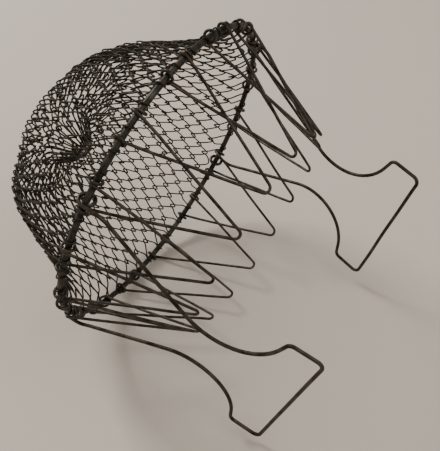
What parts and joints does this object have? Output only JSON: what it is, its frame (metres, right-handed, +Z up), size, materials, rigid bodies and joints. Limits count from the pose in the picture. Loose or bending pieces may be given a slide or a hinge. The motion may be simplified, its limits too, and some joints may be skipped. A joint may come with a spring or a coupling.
{
  "type": "wire mesh basket",
  "caption": "Collapsible round basket of linked wire mesh with a rim ring, a crown of hinged hairpin loops that fold over the mouth, and hinged bail handles.",
  "frame": {"origin": "point on the mouth's axis, in the plane that the flattened bottom of the net rests on; the centre of the bottom of the bounding box", "axes": "+Z up along the mouth's axis towards the open mouth; the two handles stand at +X and -X; the net's bottom sags towards +Y"},
  "size_m": [0.2268, 0.2268, 0.2303],
  "materials": {
    "rim_steel": "dark oxidised",
    "net_wire": "dark oxidised, worn",
    "hairpin_wire": "dark oxidised",
    "handle_wire": "dark oxidised"
  },
  "bodies": {
    "basket": {"rim_ring": "rim_steel", "gather_ring": "rim_steel", "net_row_01": "net_wire", "net_row_02": "net_wire", "net_row_03": "net_wire", "net_row_04": "net_wire", "net_row_05": "net_wire", "net_row_06": "net_wire", "net_row_07": "net_wire", "net_row_08": "net_wire", "net_row_09": "net_wire", "net_row_10": "net_wire", "net_row_11": "net_wire", "net_row_12": "net_wire", "net_row_13": "net_wire", "net_row_14": "net_wire", "net_row_15": "net_wire", "net_row_16": "net_wire", "net_row_17": "net_wire", "net_row_18": "net_wire"},
    "hairpin_01": {"hairpin_01": "hairpin_wire"},
    "hairpin_02": {"hairpin_02": "hairpin_wire"},
    "hairpin_03": {"hairpin_03": "hairpin_wire"},
    "hairpin_04": {"hairpin_04": "hairpin_wire"},
    "hairpin_05": {"hairpin_05": "hairpin_wire"},
    "hairpin_06": {"hairpin_06": "hairpin_wire"},
    "hairpin_07": {"hairpin_07": "hairpin_wire"},
    "hairpin_08": {"hairpin_08": "hairpin_wire"},
    "hairpin_09": {"hairpin_09": "hairpin_wire"},
    "hairpin_10": {"hairpin_10": "hairpin_wire"},
    "hairpin_11": {"hairpin_11": "hairpin_wire"},
    "hairpin_12": {"hairpin_12": "hairpin_wire"},
    "hairpin_13": {"hairpin_13": "hairpin_wire"},
    "hairpin_14": {"hairpin_14": "hairpin_wire"},
    "hairpin_15": {"hairpin_15": "hairpin_wire"},
    "hairpin_16": {"hairpin_16": "hairpin_wire"},
    "handle_right": {"handle_right": "handle_wire"},
    "handle_left": {"handle_left": "handle_wire"}
  },
  "joints": [
    {"name": "hairpin_01_fold", "type": "hinge", "parent": "basket", "child": "hairpin_01", "pos_m": [0.10587, 0, 0.082], "axis": [0, -1, 0], "range_deg": [0, 50]},
    {"name": "hairpin_02_fold", "type": "hinge", "parent": "basket", "child": "hairpin_02", "pos_m": [0.09781, 0.04052, 0.082], "axis": [0.3827, -0.9239, 0], "range_deg": [0, 50]},
    {"name": "hairpin_03_fold", "type": "hinge", "parent": "basket", "child": "hairpin_03", "pos_m": [0.07486, 0.07486, 0.082], "axis": [0.7071, -0.7071, 0], "range_deg": [0, 50]},
    {"name": "hairpin_04_fold", "type": "hinge", "parent": "basket", "child": "hairpin_04", "pos_m": [0.04052, 0.09781, 0.082], "axis": [0.9239, -0.3827, 0], "range_deg": [0, 50]},
    {"name": "hairpin_05_fold", "type": "hinge", "parent": "basket", "child": "hairpin_05", "pos_m": [0, 0.10587, 0.082], "axis": [1, 0, 0], "range_deg": [0, 50]},
    {"name": "hairpin_06_fold", "type": "hinge", "parent": "basket", "child": "hairpin_06", "pos_m": [-0.04052, 0.09781, 0.082], "axis": [0.9239, 0.3827, 0], "range_deg": [0, 50]},
    {"name": "hairpin_07_fold", "type": "hinge", "parent": "basket", "child": "hairpin_07", "pos_m": [-0.07486, 0.07486, 0.082], "axis": [0.7071, 0.7071, 0], "range_deg": [0, 50]},
    {"name": "hairpin_08_fold", "type": "hinge", "parent": "basket", "child": "hairpin_08", "pos_m": [-0.09781, 0.04052, 0.082], "axis": [0.3827, 0.9239, 0], "range_deg": [0, 50]},
    {"name": "hairpin_09_fold", "type": "hinge", "parent": "basket", "child": "hairpin_09", "pos_m": [-0.10587, 0, 0.082], "axis": [0, 1, 0], "range_deg": [0, 50]},
    {"name": "hairpin_10_fold", "type": "hinge", "parent": "basket", "child": "hairpin_10", "pos_m": [-0.09781, -0.04052, 0.082], "axis": [-0.3827, 0.9239, 0], "range_deg": [0, 50]},
    {"name": "hairpin_11_fold", "type": "hinge", "parent": "basket", "child": "hairpin_11", "pos_m": [-0.07486, -0.07486, 0.082], "axis": [-0.7071, 0.7071, 0], "range_deg": [0, 50]},
    {"name": "hairpin_12_fold", "type": "hinge", "parent": "basket", "child": "hairpin_12", "pos_m": [-0.04052, -0.09781, 0.082], "axis": [-0.9239, 0.3827, 0], "range_deg": [0, 50]},
    {"name": "hairpin_13_fold", "type": "hinge", "parent": "basket", "child": "hairpin_13", "pos_m": [0, -0.10587, 0.082], "axis": [-1, 0, 0], "range_deg": [0, 50]},
    {"name": "hairpin_14_fold", "type": "hinge", "parent": "basket", "child": "hairpin_14", "pos_m": [0.04052, -0.09781, 0.082], "axis": [-0.9239, -0.3827, 0], "range_deg": [0, 50]},
    {"name": "hairpin_15_fold", "type": "hinge", "parent": "basket", "child": "hairpin_15", "pos_m": [0.07486, -0.07486, 0.082], "axis": [-0.7071, -0.7071, 0], "range_deg": [0, 50]},
    {"name": "hairpin_16_fold", "type": "hinge", "parent": "basket", "child": "hairpin_16", "pos_m": [0.09781, -0.04052, 0.082], "axis": [-0.3827, -0.9239, 0], "range_deg": [0, 50]},
    {"name": "handle_right_swing", "type": "hinge", "parent": "basket", "child": "handle_right", "pos_m": [0.09277, 0, 0.082], "axis": [0, 1, 0], "range_deg": [-7, 168]},
    {"name": "handle_left_swing", "type": "hinge", "parent": "basket", "child": "handle_left", "pos_m": [-0.09277, 0, 0.082], "axis": [0, -1, 0], "range_deg": [0, 178]}
  ],
  "couplings": [
    {"joint": "hairpin_02_fold", "follows": "hairpin_01_fold", "ratio": 1},
    {"joint": "hairpin_03_fold", "follows": "hairpin_01_fold", "ratio": 1},
    {"joint": "hairpin_04_fold", "follows": "hairpin_01_fold", "ratio": 1},
    {"joint": "hairpin_05_fold", "follows": "hairpin_01_fold", "ratio": 1},
    {"joint": "hairpin_06_fold", "follows": "hairpin_01_fold", "ratio": 1},
    {"joint": "hairpin_07_fold", "follows": "hairpin_01_fold", "ratio": 1},
    {"joint": "hairpin_08_fold", "follows": "hairpin_01_fold", "ratio": 1},
    {"joint": "hairpin_09_fold", "follows": "hairpin_01_fold", "ratio": 1},
    {"joint": "hairpin_10_fold", "follows": "hairpin_01_fold", "ratio": 1},
    {"joint": "hairpin_11_fold", "follows": "hairpin_01_fold", "ratio": 1},
    {"joint": "hairpin_12_fold", "follows": "hairpin_01_fold", "ratio": 1},
    {"joint": "hairpin_13_fold", "follows": "hairpin_01_fold", "ratio": 1},
    {"joint": "hairpin_14_fold", "follows": "hairpin_01_fold", "ratio": 1},
    {"joint": "hairpin_15_fold", "follows": "hairpin_01_fold", "ratio": 1},
    {"joint": "hairpin_16_fold", "follows": "hairpin_01_fold", "ratio": 1}
  ]
}
